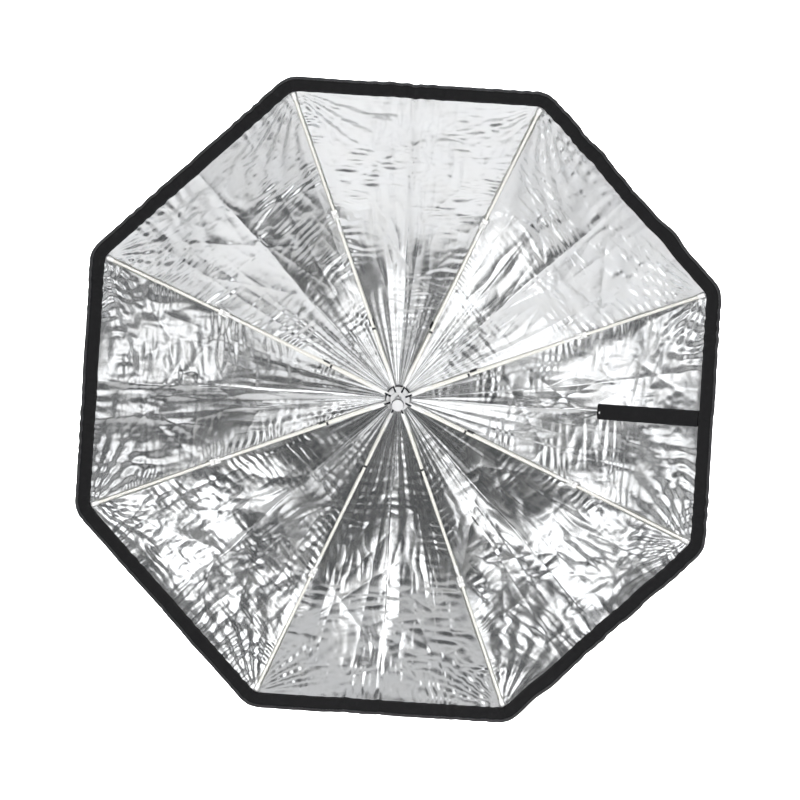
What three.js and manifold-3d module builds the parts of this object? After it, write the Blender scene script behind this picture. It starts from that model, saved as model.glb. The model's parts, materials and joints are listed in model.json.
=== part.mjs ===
// An eight-sided umbrella softbox: a steel shaft, a rear hub with eight hinged glass-fibre ribs,
// a sliding runner with eight stretchers, and a silver-lined canopy with a hook-and-loop rim.
// Millimetres, +Z up. The shaft lies along Y, and the open face looks towards -Y.

import * as THREE from 'three';
import { mergeVertices } from 'three/addons/utils/BufferGeometryUtils.js';
import Module from 'manifold-3d';

const wasm = await Module();
wasm.setup();

// Driving dimensions
const RIB_COUNT = 8;
const CORNER_RADIUS = 400; // centre to a corner of the rim
const HUB_TO_GRIP = 515; // rear hub to the place where a bracket grips the shaft
const SHAFT_RADIUS = 4;
const SHAFT_WALL = 0.8;
const SHAFT_FRONT = 545; // distances along the shaft are measured forwards from the rear hub
const SHAFT_REAR = -20;
const BORE_RADIUS = 4.35;

const PIVOT_RADIUS = 11; // ribs and stretchers hinge on wire rings of this radius
const WIRE_RADIUS = 0.6;
const ROD_RADIUS = 1.75;
const EYE_RADIUS = 2.4;
const EYE_HOLE = 1;
const BLADE_THICKNESS = 2;
const BLADE_HEIGHT = 3.6;
const SLOT_WIDTH = 2.7;
const SLOT_FLOOR = 8.3;
const CROWN_RADIUS = 14;
const GROOVE_FLOOR = 10;
const GROOVE_HALF = 0.95;

const HUB_ANGLE = THREE.MathUtils.degToRad(12.5); // rib's slope at the hub and at the tip
const TIP_ANGLE = THREE.MathUtils.degToRad(38);
const CLIP_AT = 236; // along the rib
const BEND_LENGTH = 416; // the rib's bend has died away here
const STRETCHER_OFFSET = 5.7; // stretcher pivot in front of the rib's centreline
const CANOPY_OFFSET = 3.5; // lining behind the rib's centreline
const CANOPY_THICKNESS = 1;
const CANOPY_INNER_RADIUS = 15.5;
const CANOPY_SAG = 6; // how far a panel's middle is drawn inwards
const TAPE_WIDTH = 21;
const TAPE_THICKNESS = 1.2;
const SEAM_GAP = 0.3; // each side of the crease at the middle of a panel
const SLIT_LENGTH = 145;
const SLIT_EDGE = 9.5; // half the strip's width

const STEP = (2 * Math.PI) / RIB_COUNT;
const HALF_STEP = STEP / 2;
const RUNNER_SLEEVE = 30;
const RUNNER_RADIUS = 8;
const CATCH_PROUD = 2.2;
const CATCH_WIDTH = 1.5;
const CATCH_LEAF = 2.7; // the catch's leaf lies inside the tube, this far from the axis
const CATCH_BACK = -0.6;
const KEYWAY_RADIUS = 6.7; // the runner's keyway clears the catch
const KEYWAY_WIDTH = 2.4;
const CATCH_AZIMUTH = Math.PI / 2;
const STOP_AT = 494;
const SLIT_TAPE_LIFT = 0.7;
const SLIT_FLAP_LIFT = 2;

// Materials
function finish(color, roughness, metalness) {
  return new THREE.MeshStandardMaterial({ color, roughness, metalness });
}

const STEEL = finish('#b9bcc0', 0.3, 1);
const BLACK_PLASTIC = finish('#1b1c1e', 0.5, 0);
const GREY_PLASTIC = finish('#c4c5c6', 0.4, 0);
const GLASS_FIBRE = finish('#e9e4d2', 0.45, 0);
const WHITE_PLASTIC = finish('#e8e8e6', 0.45, 0);
const SILVER_FABRIC = finish('#c9ccd0', 0.3, 0.9);
const BLACK_TAPE = finish('#18181a', 0.95, 0);

// Joining and cutting
function solid(geometry) {
  const plain = geometry.clone();
  plain.deleteAttribute('normal');
  plain.deleteAttribute('uv');
  const merged = mergeVertices(plain, 1e-4);
  const triVerts = new Uint32Array(merged.index.array);
  const vertProperties = new Float32Array(merged.attributes.position.array);
  return new wasm.Manifold(new wasm.Mesh({ numProp: 3, vertProperties, triVerts }));
}

function geometryOf(manifold) {
  const mesh = manifold.getMesh();
  const geometry = new THREE.BufferGeometry();
  geometry.setAttribute('position', new THREE.BufferAttribute(mesh.vertProperties, 3));
  geometry.setIndex(new THREE.BufferAttribute(mesh.triVerts, 1));
  return geometry;
}

function join(geometries) {
  return geometries.map(solid).reduce((whole, piece) => whole.add(piece));
}

function cut(whole, geometries) {
  return geometries.map(solid).reduce((left, piece) => left.subtract(piece), whole);
}

// Simple solids
function latheAboutZ(outline, segments) {
  const points = outline.map(([radius, along]) => new THREE.Vector2(radius, along));
  return new THREE.LatheGeometry(points, segments).rotateX(Math.PI / 2);
}

// A ring profile is closed by its first point.
function ring(outline, segments) {
  return latheAboutZ([...outline, outline[0]], segments);
}

function pinAcross(x, z, radius, length, segments) {
  return new THREE.CylinderGeometry(radius, radius, length, segments).translate(x, 0, z);
}

// A flat bar in the rib's plane, from one point to another.
function bar(from, to, height, thickness) {
  const run = to.clone().sub(from);
  const middle = from.clone().add(to).multiplyScalar(0.5);
  return new THREE.BoxGeometry(run.length(), thickness, height)
    .rotateY(-Math.atan2(run.z, run.x))
    .translate(middle.x, 0, middle.z);
}

function rod(points, steps) {
  const section = new THREE.Shape().absarc(0, 0, ROD_RADIUS, 0, 2 * Math.PI, false);
  const straight = points.length === 2;
  const extrudePath = straight ? new THREE.LineCurve3(...points) : new THREE.CatmullRomCurve3(points);
  return new THREE.ExtrudeGeometry(section, { steps, extrudePath, curveSegments: 4, bevelEnabled: false });
}

// The rib's line, in its own plane: x is the distance from the shaft's axis, z runs forwards.
// Its bend grows evenly from the hub to the clip and dies away evenly to the tip.
function ribAngle(along) {
  const sharpest = (2 * (TIP_ANGLE - HUB_ANGLE)) / BEND_LENGTH;
  if (along < CLIP_AT) return HUB_ANGLE + (sharpest * along ** 2) / (2 * CLIP_AT);
  const left = Math.max(BEND_LENGTH - along, 0);
  return TIP_ANGLE - (sharpest * left ** 2) / (2 * (BEND_LENGTH - CLIP_AT));
}

function ribPoint(along, offset = 0) {
  const count = Math.max(1, Math.ceil(along / 4));
  const step = along / count;
  const point = new THREE.Vector3(PIVOT_RADIUS, 0, 0);
  for (let i = 0; i < count; i++) {
    const angle = ribAngle((i + 0.5) * step);
    point.x += step * Math.cos(angle);
    point.z += step * Math.sin(angle);
  }
  const angle = ribAngle(along);
  point.x -= offset * Math.sin(angle);
  point.z += offset * Math.cos(angle);
  return point;
}

const HUB_PIVOT = new THREE.Vector3(PIVOT_RADIUS, 0, 0);
const STRETCHER_PIVOT = ribPoint(CLIP_AT, STRETCHER_OFFSET);
const RUNNER_AT = 2 * STRETCHER_PIVOT.z; // the stretcher is as long as the rib from hub to pivot
const RUNNER_PIVOT = new THREE.Vector3(PIVOT_RADIUS, 0, RUNNER_AT);
const BEND_END = ribPoint(BEND_LENGTH, -CANOPY_OFFSET);
const HEM_AT = BEND_LENGTH + (CORNER_RADIUS - BEND_END.x) / Math.cos(TIP_ANGLE);
const TAPE_AT = HEM_AT - TAPE_WIDTH;
const RIB_END = TAPE_AT - 0.8;
const CANOPY_FROM = (CANOPY_INNER_RADIUS - PIVOT_RADIUS) / Math.cos(HUB_ANGLE);

// Pieces on the shaft
function shaftTube() {
  const bore = SHAFT_RADIUS - SHAFT_WALL;
  const outline = [
    [bore, SHAFT_REAR],
    [SHAFT_RADIUS, SHAFT_REAR],
    [SHAFT_RADIUS, SHAFT_FRONT],
    [bore, SHAFT_FRONT],
  ];
  const slot = new THREE.BoxGeometry(SHAFT_RADIUS, CATCH_WIDTH + 0.7, 26)
    .translate(SHAFT_RADIUS + 0.5, 0, catchFace() + 12)
    .rotateZ(CATCH_AZIMUTH);
  return cut(solid(ring(outline, 24)), [slot]);
}

function catchFace() {
  return RUNNER_AT + RUNNER_SLEEVE + 0.6;
}

// A sheet-steel catch inside the shaft. Its wedge stands proud in front of the opened runner.
function catchSpring() {
  const face = catchFace();
  const outline = new THREE.Shape([
    new THREE.Vector2(CATCH_BACK, face - 2.5),
    new THREE.Vector2(CATCH_LEAF, face - 2.5),
    new THREE.Vector2(CATCH_LEAF, face),
    new THREE.Vector2(SHAFT_RADIUS + CATCH_PROUD, face + 0.3),
    new THREE.Vector2(SHAFT_RADIUS + CATCH_PROUD, face + 2.5),
    new THREE.Vector2(CATCH_LEAF, face + 23),
    new THREE.Vector2(CATCH_LEAF, face + 27),
    new THREE.Vector2(CATCH_BACK, face + 27),
  ]);
  return new THREE.ExtrudeGeometry(outline, { depth: CATCH_WIDTH, bevelEnabled: false })
    .translate(0, 0, -CATCH_WIDTH / 2)
    .rotateX(Math.PI / 2)
    .rotateZ(CATCH_AZIMUTH);
}

function shaftEndCap() {
  const front = SHAFT_FRONT + 3;
  return latheAboutZ(
    [
      [0, SHAFT_FRONT + 0.3],
      [BORE_RADIUS, SHAFT_FRONT + 0.3],
      [BORE_RADIUS, SHAFT_FRONT - 15],
      [5.6, SHAFT_FRONT - 15],
      [6, SHAFT_FRONT - 13.5],
      [6, front - 1],
      [5, front],
      [0, front],
    ],
    24,
  );
}

function runnerStop() {
  const front = STOP_AT + 5;
  const outline = [
    [BORE_RADIUS, STOP_AT],
    [6.4, STOP_AT],
    [6.8, STOP_AT + 1],
    [6.8, front - 1],
    [6.4, front],
    [BORE_RADIUS, front],
  ];
  return ring(outline, 24);
}

function rearFerrule() {
  return latheAboutZ(
    [
      [0, SHAFT_REAR - 6],
      [3, SHAFT_REAR - 5.2],
      [5.6, SHAFT_REAR - 2.5],
      [7, SHAFT_REAR + 2],
      [9, SHAFT_REAR + 8],
      [10, -9.4],
      [9.6, -8.8],
      [BORE_RADIUS, -8.8],
      [BORE_RADIUS, SHAFT_REAR - 0.4],
      [0, SHAFT_REAR - 0.4],
    ],
    24,
  );
}

// A round patch behind the canopy's middle, coned like the canopy.
function rearPatch() {
  const back = [[BORE_RADIUS, -8.4], [20, -7.2], [34, -4.2]];
  const front = [[34, -3.2], [20, -6.1], [BORE_RADIUS, -7.2]];
  return ring([...back, ...front], 32);
}

// A crown with slots for eight blades, and a groove that holds their wire ring.
function crownOutline(at, back, front) {
  return [
    [BORE_RADIUS, at - back],
    [CROWN_RADIUS - 1, at - back],
    [CROWN_RADIUS, at - back + 1],
    [CROWN_RADIUS, at - GROOVE_HALF],
    [GROOVE_FLOOR, at - GROOVE_HALF],
    [GROOVE_FLOOR, at + GROOVE_HALF],
    [CROWN_RADIUS, at + GROOVE_HALF],
    [CROWN_RADIUS, at + front - 1],
    [CROWN_RADIUS - 1, at + front],
  ];
}

function slots(at) {
  const length = CROWN_RADIUS + 2 - SLOT_FLOOR;
  return Array.from({ length: RIB_COUNT }, (_, i) =>
    new THREE.BoxGeometry(length, SLOT_WIDTH, 30)
      .translate(SLOT_FLOOR + length / 2, 0, at)
      .rotateZ(HALF_STEP + i * STEP),
  );
}

function notchHub() {
  const outline = [...crownOutline(0, 5.5, 4.5), [BORE_RADIUS, 4.5]];
  return cut(solid(ring(outline, 32)), slots(0));
}

function runner() {
  const end = RUNNER_AT + RUNNER_SLEEVE;
  const outline = [
    ...crownOutline(RUNNER_AT, 4.5, 4.5),
    [RUNNER_RADIUS, RUNNER_AT + 4.5],
    [RUNNER_RADIUS, end - 5],
    [9.4, end - 4],
    [9.4, end - 1],
    [8.6, end],
    [BORE_RADIUS, end],
  ];
  const keyway = new THREE.BoxGeometry(KEYWAY_RADIUS, KEYWAY_WIDTH, RUNNER_SLEEVE + 20)
    .translate(KEYWAY_RADIUS / 2, 0, RUNNER_AT + RUNNER_SLEEVE / 2)
    .rotateZ(CATCH_AZIMUTH);
  return cut(solid(ring(outline, 32)), [...slots(RUNNER_AT), keyway]);
}

function wireRing(at) {
  return new THREE.TorusGeometry(PIVOT_RADIUS, WIRE_RADIUS, 6, 40).translate(0, 0, at);
}

// Pieces of one rib, in its own plane
function rib() {
  const bent = spread(12, RIB_END - 1.6, 14).map((along) => ribPoint(along));
  const whole = join([
    rod(bent, 18),
    bar(HUB_PIVOT, ribPoint(22), BLADE_HEIGHT, BLADE_THICKNESS),
    pinAcross(HUB_PIVOT.x, HUB_PIVOT.z, EYE_RADIUS, BLADE_THICKNESS, 14),
  ]);
  return cut(whole, [pinAcross(HUB_PIVOT.x, HUB_PIVOT.z, EYE_HOLE, 8, 10)]);
}

// A round-ended cap over the last of the rod.
function ribTip() {
  const end = ribPoint(RIB_END);
  return latheAboutZ(
    [[0, -1.2], [2.05, -1.2], [2.05, -9], [2.5, -9], [2.7, -8], [2.7, -1.4], [1.9, -0.4], [0, 0]],
    12,
  )
    .rotateY(Math.PI / 2 - TIP_ANGLE)
    .translate(end.x, 0, end.z);
}

// A saddle that snaps onto the rib, with two ears and the rivet that holds the stretcher.
function ribClip() {
  const angle = ribAngle(CLIP_AT);
  const seat = ribPoint(CLIP_AT);
  const box = (length, width, height, y, z) => {
    return new THREE.BoxGeometry(length, width, height).translate(0, y, z);
  };
  const ear = (side) => [
    box(6.4, 2.2, 4, side * 2.5, 4.4),
    pinAcross(0, STRETCHER_OFFSET, 3.2, 2.2, 16).translate(0, side * 2.5, 0),
  ];
  const saddle = join([
    box(14, 7.2, 4.75, 0, 0.475),
    ...ear(1),
    ...ear(-1),
    pinAcross(0, STRETCHER_OFFSET, 0.75, 7, 10),
    pinAcross(0, STRETCHER_OFFSET, 1.8, 0.9, 12).translate(0, 3.9, 0),
    pinAcross(0, STRETCHER_OFFSET, 1.8, 0.9, 12).translate(0, -3.9, 0),
  ]);
  const channel = box(20, 4.1, 4.3, 0, -0.15);
  return geometryOf(cut(saddle, [channel])).rotateY(-angle).translate(seat.x, 0, seat.z);
}

// The stretcher hinges on the rib's clip. Its inner end stops just short of the runner's wire.
function stretcher() {
  const inwards = RUNNER_PIVOT.clone().sub(STRETCHER_PIVOT);
  const length = inwards.length();
  const at = (distance) => STRETCHER_PIVOT.clone().addScaledVector(inwards, distance / length);
  const whole = join([
    pinAcross(STRETCHER_PIVOT.x, STRETCHER_PIVOT.z, EYE_RADIUS, BLADE_THICKNESS, 14),
    bar(at(0), at(16), BLADE_HEIGHT, BLADE_THICKNESS),
    rod([at(9.5), at(length - 24)], 1),
    bar(at(length - 30), at(length - 2.3), BLADE_HEIGHT, BLADE_THICKNESS),
  ]);
  return cut(whole, [pinAcross(STRETCHER_PIVOT.x, STRETCHER_PIVOT.z, 1.15, 8, 10)]);
}

// The canopy. across runs from -1 to 1 over the two half panels beside a rib; offset is measured
// forwards from the lining's face.
function canopyPoint(along, across, offset) {
  const onRib = ribPoint(along, offset - CANOPY_OFFSET);
  const share = Math.abs(across);
  const reach = Math.min(along / TAPE_AT, 1);
  const sag = CANOPY_SAG * Math.sin(Math.PI * reach) * share ** 2;
  const angle = ribAngle(along);
  const radius = onRib.x - sag * Math.sin(angle);
  const x = radius * (1 - share * Math.sin(HALF_STEP) ** 2);
  const y = radius * share * Math.sin(HALF_STEP) * Math.cos(HALF_STEP);
  const seam = SEAM_GAP * share;
  const side = Math.sign(across);
  return new THREE.Vector3(
    x + seam * Math.sin(HALF_STEP),
    side * (y - seam * Math.cos(HALF_STEP)),
    onRib.z + sag * Math.cos(angle),
  );
}

// A closed sheet between two offsets from the lining, over a grid of (along, across) places.
function sheet(alongs, acrosses, back, front) {
  const columns = acrosses.length;
  const layer = alongs.length * columns;
  const positions = [];
  for (const offset of [back, front]) {
    for (const along of alongs) {
      for (const across of acrosses) positions.push(...canopyPoint(along, across, offset).toArray());
    }
  }
  const index = [];
  const quad = (a, b, c, d) => index.push(a, b, c, a, c, d);
  const at = (i, j) => i * columns + j;
  for (let i = 0; i + 1 < alongs.length; i++) {
    for (let j = 0; j + 1 < columns; j++) {
      const [a, b, c, d] = [at(i, j), at(i + 1, j), at(i + 1, j + 1), at(i, j + 1)];
      quad(d, c, b, a);
      quad(a + layer, b + layer, c + layer, d + layer);
    }
  }
  const border = [];
  for (let i = 0; i < alongs.length - 1; i++) border.push(at(i, 0));
  for (let j = 0; j < columns - 1; j++) border.push(at(alongs.length - 1, j));
  for (let i = alongs.length - 1; i > 0; i--) border.push(at(i, columns - 1));
  for (let j = columns - 1; j > 0; j--) border.push(at(0, j));
  border.forEach((a, k) => {
    const b = border[(k + 1) % border.length];
    quad(a, b, b + layer, a + layer);
  });
  const geometry = new THREE.BufferGeometry();
  geometry.setAttribute('position', new THREE.Float32BufferAttribute(positions, 3));
  geometry.setIndex(index);
  return geometry;
}

function spread(from, to, count) {
  return Array.from({ length: count + 1 }, (_, i) => from + ((to - from) * i) / count);
}

function canopyGore() {
  const alongs = [...spread(CANOPY_FROM, TAPE_AT, 11), HEM_AT];
  return sheet(alongs, spread(-1, 1, 4), -CANOPY_THICKNESS, 0);
}

function rimTape() {
  return sheet([TAPE_AT, HEM_AT], [-1, 0, 1], SEAM_GAP, SEAM_GAP + TAPE_THICKNESS);
}

// A strip along the crease of the +X panel, from y1 to y2 across it and between two offsets.
function slitStrip(y1, y2, back, front) {
  const outer = TAPE_AT - 0.6;
  const alongs = spread(outer - SLIT_LENGTH, outer, 5);
  const crease = (along, offset) => {
    const point = canopyPoint(along, 1, offset);
    return { x: Math.hypot(point.x, point.y), z: point.z };
  };
  const positions = [];
  for (const along of alongs) {
    for (const [y, offset] of [[y1, back], [y2, back], [y2, front], [y1, front]]) {
      const { x, z } = crease(along, offset);
      positions.push(x, y, z);
    }
  }
  const index = [];
  const last = 4 * (alongs.length - 1);
  for (let i = 0; i < last; i += 4) {
    for (let k = 0; k < 4; k++) {
      const next = (k + 1) % 4;
      index.push(i + k, i + 4 + next, i + 4 + k, i + k, i + next, i + 4 + next);
    }
  }
  index.push(0, 2, 1, 0, 3, 2, last, last + 1, last + 2, last, last + 2, last + 3);
  const geometry = new THREE.BufferGeometry();
  geometry.setAttribute('position', new THREE.Float32BufferAttribute(positions, 3));
  geometry.setIndex(index);
  return geometry;
}

// The assembly. Its own z axis runs forwards along the shaft, from the rear hub.
const octabox = new THREE.Group();
octabox.rotation.x = Math.PI / 2;
octabox.position.y = HUB_TO_GRIP;

function add(name, shape, material, parent = octabox) {
  const geometry = shape.isBufferGeometry ? shape : geometryOf(shape);
  const mesh = new THREE.Mesh(geometry, material);
  mesh.name = name;
  parent.add(mesh);
}

add('shaft_tube', shaftTube(), STEEL);
add('shaft_end_cap', shaftEndCap(), GREY_PLASTIC);
add('runner_stop', runnerStop(), STEEL);
add('catch_spring', catchSpring(), STEEL);
add('rear_ferrule', rearFerrule(), BLACK_PLASTIC);
add('rear_patch', rearPatch(), BLACK_PLASTIC);
add('notch_hub', notchHub(), GREY_PLASTIC);
add('hub_wire', wireRing(0), STEEL);
add('runner', runner(), GREY_PLASTIC);
add('runner_wire', wireRing(RUNNER_AT), STEEL);
add('slit_tape', slitStrip(0.6, SLIT_EDGE, SLIT_TAPE_LIFT, SLIT_TAPE_LIFT + 0.9), BLACK_TAPE);
add('slit_flap', slitStrip(-SLIT_EDGE, SLIT_EDGE, SLIT_FLAP_LIFT, SLIT_FLAP_LIFT + 1), BLACK_TAPE);

for (let i = 0; i < RIB_COUNT; i++) {
  const arm = new THREE.Group();
  arm.rotation.z = HALF_STEP + i * STEP;
  octabox.add(arm);
  add(`rib_${i + 1}`, rib(), GLASS_FIBRE, arm);
  add(`rib_tip_${i + 1}`, ribTip(), WHITE_PLASTIC, arm);
  add(`rib_clip_${i + 1}`, ribClip(), WHITE_PLASTIC, arm);
  add(`stretcher_${i + 1}`, stretcher(), GLASS_FIBRE, arm);
  add(`canopy_gore_${i + 1}`, canopyGore(), SILVER_FABRIC, arm);
  add(`rim_tape_${i + 1}`, rimTape(), BLACK_TAPE, arm);
}

export default octabox;
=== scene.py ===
"""Looks of an eight-sided umbrella softbox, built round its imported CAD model.

Distances are in metres. Places on a rib are given in its own plane: r is the distance from the
shaft's axis, t runs sideways and s runs forwards from the rear hub. "along" is measured on the rib.
"""

import json
import math

import bpy
import numpy as np
from mathutils import Matrix, Vector


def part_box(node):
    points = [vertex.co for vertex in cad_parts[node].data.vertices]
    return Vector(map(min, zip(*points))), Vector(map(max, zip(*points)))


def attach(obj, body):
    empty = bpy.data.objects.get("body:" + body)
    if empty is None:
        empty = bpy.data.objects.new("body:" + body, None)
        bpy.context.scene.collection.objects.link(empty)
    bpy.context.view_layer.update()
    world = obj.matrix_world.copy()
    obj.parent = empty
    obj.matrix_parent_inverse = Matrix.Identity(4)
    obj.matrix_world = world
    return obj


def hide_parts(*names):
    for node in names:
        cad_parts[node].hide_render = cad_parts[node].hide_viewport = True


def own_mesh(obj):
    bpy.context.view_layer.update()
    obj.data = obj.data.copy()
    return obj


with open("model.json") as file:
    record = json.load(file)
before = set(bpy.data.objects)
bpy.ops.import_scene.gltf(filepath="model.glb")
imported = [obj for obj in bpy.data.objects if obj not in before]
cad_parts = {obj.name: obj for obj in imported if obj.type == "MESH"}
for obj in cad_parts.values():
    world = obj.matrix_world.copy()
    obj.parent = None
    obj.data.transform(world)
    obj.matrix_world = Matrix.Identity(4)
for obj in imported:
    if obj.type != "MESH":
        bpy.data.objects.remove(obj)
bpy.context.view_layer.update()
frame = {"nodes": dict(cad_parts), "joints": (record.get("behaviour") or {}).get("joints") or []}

# ---- driving dimensions
JOINTS = {j["name"]: j for j in frame["joints"]}
HUB = JOINTS["rib_fold_1"]["pos_m"]
CLIP_PIVOT = JOINTS["stretcher_pivot_1"]["pos_m"]
HUB_Y = HUB[1]
PIVOT_RADIUS = math.hypot(HUB[0], HUB[2])
RIBS = 8
STEP = 2 * math.pi / RIBS
HALF = STEP / 2
COS_HALF, SIN_HALF = math.cos(HALF), math.sin(HALF)

HUB_ANGLE = math.radians(12.5)
TIP_ANGLE = math.radians(38)
CLIP_AT = 0.236
BEND_LENGTH = 0.416
CORNER_RADIUS = 0.4
STRETCHER_OFFSET = 0.0057
CANOPY_OFFSET = 0.0035
CANOPY_INNER_RADIUS = 0.0155
CANOPY_SAG = 0.006
CLOTH_THICKNESS = 0.0006
TAPE_WIDTH = 0.021
RIB_TO_TAPE = 0.0008
TAPE_THICKNESS = 0.0012
ROD_RADIUS = 0.00175
SLIT_LENGTH = 0.145
SLIT_WIDTH = 0.019
RUNNER_AT = 2 * (HUB_Y - CLIP_PIVOT[1])


def new_object(name, data):
    thing = bpy.data.objects.new(name, data)
    bpy.context.scene.collection.objects.link(thing)
    return thing


# ---- camera
CAMERA_DISTANCE = 3.0
CAMERA_RISE = math.radians(0.9)
CAMERA_ROLL = math.radians(3.6)
AIM_AT = 0.17


def make_camera():
    """Looks along the shaft from just above it, rolled a little, so that the box stands askew."""
    rim_centre = Vector((0, HUB_Y - AIM_AT, 0))
    data = bpy.data.cameras.new("camera")
    data.lens = 115
    data.sensor_width = 36
    data.shift_x = 0.0025
    camera = new_object("camera", data)
    away = Vector((0, -math.cos(CAMERA_RISE), math.sin(CAMERA_RISE)))
    camera.location = rim_centre + CAMERA_DISTANCE * away
    aim = (rim_centre - camera.location).to_track_quat("-Z", "Y").to_matrix().to_4x4()
    roll = Matrix.Rotation(CAMERA_ROLL, 4, "Z")
    camera.matrix_world = Matrix.Translation(camera.location) @ aim @ roll
    bpy.context.scene.camera = camera


make_camera()


# ---- mesh building
class Shape:
    """Gathers vertices and faces, and turns them into one object."""

    def __init__(self):
        self.points, self.faces, self.slots, self.count = [], [], [], 0

    def add(self, points, faces, slot=0):
        points = np.asarray(points, float).reshape(-1, 3)
        self.points.append(points)
        self.faces += [tuple(k + self.count for k in face) for face in faces]
        self.slots += [slot] * len(faces)
        self.count += len(points)
        return self

    def make(self, name, materials, sharp=35, cloth=None):
        mesh = bpy.data.meshes.new(name)
        mesh.from_pydata(np.vstack(self.points).tolist(), [], self.faces)
        mesh.update()
        if cloth is not None:
            corners = np.empty(len(mesh.loops), np.int32)
            mesh.loops.foreach_get("vertex_index", corners)
            layer = mesh.uv_layers.new(name="cloth")
            layer.uv.foreach_set("vector", np.asarray(cloth, np.float32)[corners].ravel())
        for material in materials:
            mesh.materials.append(material)
        mesh.polygons.foreach_set("material_index", np.array(self.slots, np.int32))
        mesh.shade_smooth()
        mesh.set_sharp_from_angle(angle=math.radians(sharp))
        return new_object(name, mesh)


def grid_faces(rows, columns, flip=False, wrap=False):
    """Quads over rows of points, each row closed on itself if wrap is true."""
    faces = []
    for i in range(rows - 1):
        for j in range(columns if wrap else columns - 1):
            k = (j + 1) % columns
            quad = (i * columns + j, i * columns + k, (i + 1) * columns + k, (i + 1) * columns + j)
            faces.append(quad[::-1] if flip else quad)
    return faces


def place(points, azimuth):
    """From a rib's own plane (r, t, s) to the frame."""
    p = np.asarray(points, float)
    r, t, s = p[..., 0], p[..., 1], p[..., 2]
    c, d = math.cos(azimuth), math.sin(azimuth)
    return np.stack([r * c - t * d, HUB_Y - s, r * d + t * c], -1)


def in_plane(r, s):
    """Points (r, 0, s) in the rib's plane."""
    return np.stack([r, 0 * r, s], -1)


def lathe(shape, profile, segments=64, start=0.0, sweep=2 * math.pi):
    """Turns a closed profile of (radius, s) about the shaft. A part turn gets flat ends."""
    full = sweep == 2 * math.pi
    count = segments + (not full)
    n = len(profile)
    angles = start + sweep * np.arange(count) / segments
    points = [[r * math.cos(a), HUB_Y - s, r * math.sin(a)] for a in angles for r, s in profile]
    quads = grid_faces(count + full, n, wrap=True)
    faces = [tuple(k % (count * n) for k in quad) for quad in quads]
    if not full:
        faces.append(tuple(range(n))[::-1])
        faces.append(tuple((count - 1) * n + j for j in range(n)))
    return shape.add(points, faces)


def sweep_tube(shape, path, radius, azimuth, slot=0, sides=24, capped=True):
    """A round tube along points (r, t, s) of a rib's plane. radius may change along it."""
    path = np.asarray(path, float)
    radii = np.broadcast_to(np.asarray(radius, float), len(path))
    tangents = np.gradient(path, axis=0)
    tangents /= np.linalg.norm(tangents, axis=1)[:, None]
    normal = np.cross(tangents[0], [0.0, 1.0, 0.0])
    if np.linalg.norm(normal) < 0.1:
        normal = np.cross(tangents[0], [1.0, 0.0, 0.0])
    rows = []
    for p, d, size in zip(path, tangents, radii):
        normal = normal - d * (normal @ d)
        normal /= np.linalg.norm(normal)
        other = np.cross(d, normal)
        turn = 2 * np.pi * np.arange(sides) / sides
        rows.append(p + size * (np.cos(turn)[:, None] * normal + np.sin(turn)[:, None] * other))
    faces = grid_faces(len(path), sides, wrap=True)
    if capped:
        faces.append(tuple(range(sides))[::-1])
        faces.append(tuple(range((len(path) - 1) * sides, len(path) * sides)))
    return shape.add(place(np.vstack(rows), azimuth), faces, slot)


def arc(cx, cs, radius, start, end, steps=6):
    """Points round an arc about (cx, cs), angles in degrees."""
    angles = [math.radians(start + (end - start) * k / steps) for k in range(steps + 1)]
    return [(cx + radius * math.cos(a), cs + radius * math.sin(a)) for a in angles]


def rounded_outline(length, height, corner):
    """A rectangle with round corners about the origin, as (x, z) points."""
    x, z = length / 2 - corner, height / 2 - corner
    points = []
    for turn, (cx, cz) in enumerate([(x, z), (-x, z), (-x, -z), (x, -z)]):
        points += arc(cx, cz, corner, 90 * turn, 90 * turn + 90, 5)
    return points


PLATE_CHAMFER = 0.0003


def plate(shape, outline, thickness, aside, move, azimuth):
    """A flat plate across t, at aside. outline holds (x, z); move takes those to the rib's (r, s)."""
    outline = np.asarray(outline, float)
    centre = outline.mean(0)
    away = outline - centre
    reach = np.maximum(np.linalg.norm(away, axis=1), 1e-6)[:, None]
    n = len(outline)
    rows = []
    for side, inset in [(-1, PLATE_CHAMFER), (-1, 0), (1, 0), (1, PLATE_CHAMFER)]:
        depth = aside + side * (thickness / 2 - (0 if inset else PLATE_CHAMFER))
        ring = np.array([move(x, z) for x, z in centre + away * (1 - inset / reach)])
        rows.append(np.stack([ring[:, 0], np.full(n, depth), ring[:, 1]], -1))
    faces = grid_faces(4, n, wrap=True)
    faces += [tuple(range(n))[::-1], tuple(3 * n + k for k in range(n))]
    shape.add(place(np.vstack(rows), azimuth), faces)


# ---- the rib's line
def rib_angle(along):
    """The rib's slope: its bend grows evenly to the clip and dies away evenly to the tip."""
    along = np.asarray(along, float)
    sharpest = 2 * (TIP_ANGLE - HUB_ANGLE) / BEND_LENGTH
    left = np.maximum(BEND_LENGTH - along, 0)
    inner = HUB_ANGLE + sharpest * along**2 / (2 * CLIP_AT)
    outer = TIP_ANGLE - sharpest * left**2 / (2 * (BEND_LENGTH - CLIP_AT))
    return np.where(along < CLIP_AT, inner, outer)


TABLE_ALONG = np.linspace(0, 0.45, 1801)
_middle = rib_angle((TABLE_ALONG[1:] + TABLE_ALONG[:-1]) / 2)
_step = TABLE_ALONG[1]
TABLE_R = PIVOT_RADIUS + np.concatenate([[0], np.cumsum(np.cos(_middle) * _step)])
TABLE_S = np.concatenate([[0], np.cumsum(np.sin(_middle) * _step)])


def rib_point(along, offset=0.0):
    """(r, s) on the rib's line, moved forwards across it by offset."""
    angle = rib_angle(along)
    r = np.interp(along, TABLE_ALONG, TABLE_R) - offset * np.sin(angle)
    s = np.interp(along, TABLE_ALONG, TABLE_S) + offset * np.cos(angle)
    return r, s


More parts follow.
